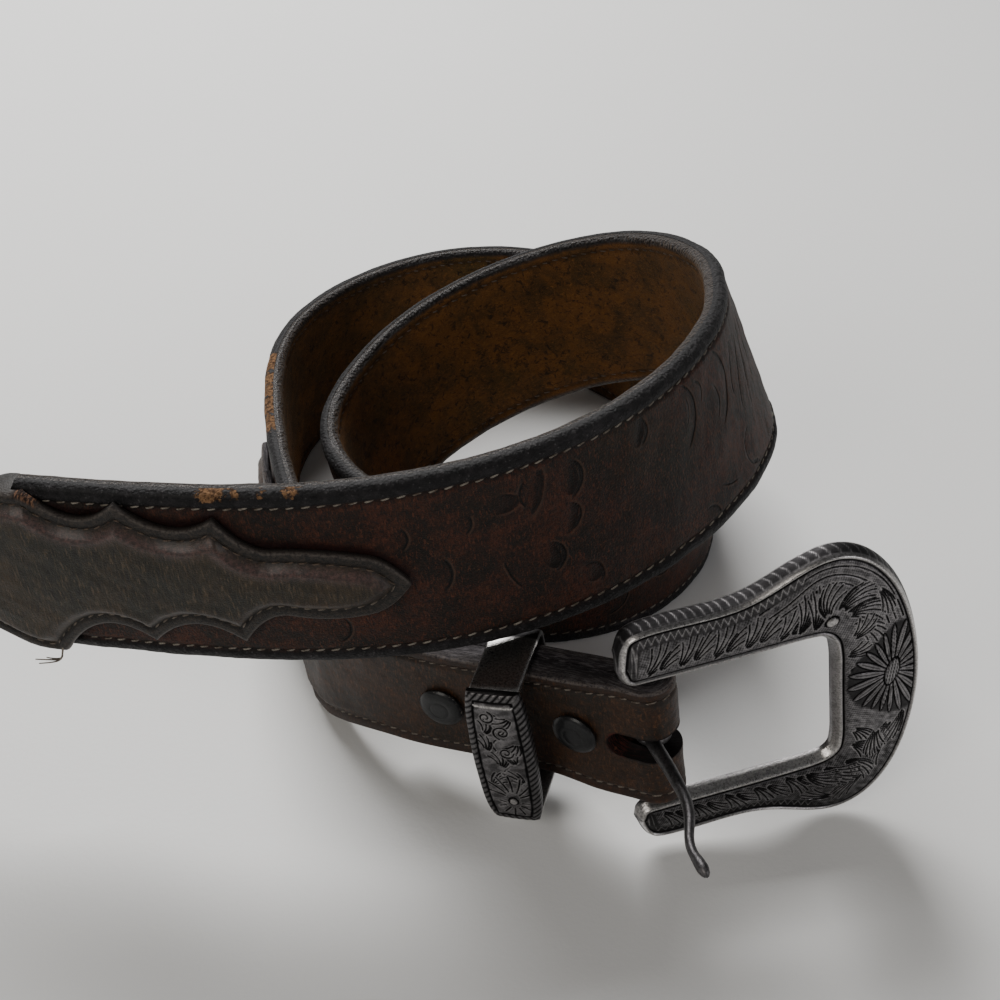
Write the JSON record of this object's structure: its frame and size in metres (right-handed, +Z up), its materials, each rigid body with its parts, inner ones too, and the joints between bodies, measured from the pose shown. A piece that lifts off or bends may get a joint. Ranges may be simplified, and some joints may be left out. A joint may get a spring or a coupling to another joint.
{
  "type": "western belt",
  "caption": "Tooled leather western belt with a scalloped billet at each end, an engraved metal buckle and a keeper, standing on its edge in a loose spiral.",
  "frame": {"origin": "on the surface it stands on, below the middle of the bounding box", "axes": "+Z up, +X towards the round end of the buckle, +Y away from the buckle's front"},
  "size_m": [0.2934, 0.1988, 0.0824],
  "materials": {
    "strap_leather": "worn tooled, dark rim",
    "lining_suede": "rough suede",
    "billet_leather": "smooth, worn",
    "snap_black": "gloss black",
    "antique_silver": "polished, dark in the recesses"
  },
  "bodies": {
    "strap": {"strap_face": "strap_leather", "strap_lining": "lining_suede", "tip_billet": "strap_leather", "buckle_billet": "billet_leather", "snap_1": "snap_black", "snap_2": "snap_black"},
    "buckle": {"buckle_frame": "antique_silver"},
    "prong": {"prong": "antique_silver"},
    "keeper": {"keeper": "antique_silver"}
  },
  "joints": [
    {"name": "buckle_hinge", "type": "hinge", "parent": "strap", "child": "buckle", "pos_m": [0.09848, -0.06687, 0.02837], "axis": [-0.1475, 0.0301, 0.9886], "range_deg": [-45, 42]},
    {"name": "prong_hinge", "type": "hinge", "parent": "buckle", "child": "prong", "pos_m": [0.09848, -0.06687, 0.02837], "axis": [-0.1475, 0.0301, 0.9886], "range_deg": [-30, 84]},
    {"name": "keeper_slide", "type": "slide", "parent": "strap", "child": "keeper", "axis": [0.9067, -0.3991, 0.1364], "range_m": [-0.0025, 0.0025]}
  ]
}
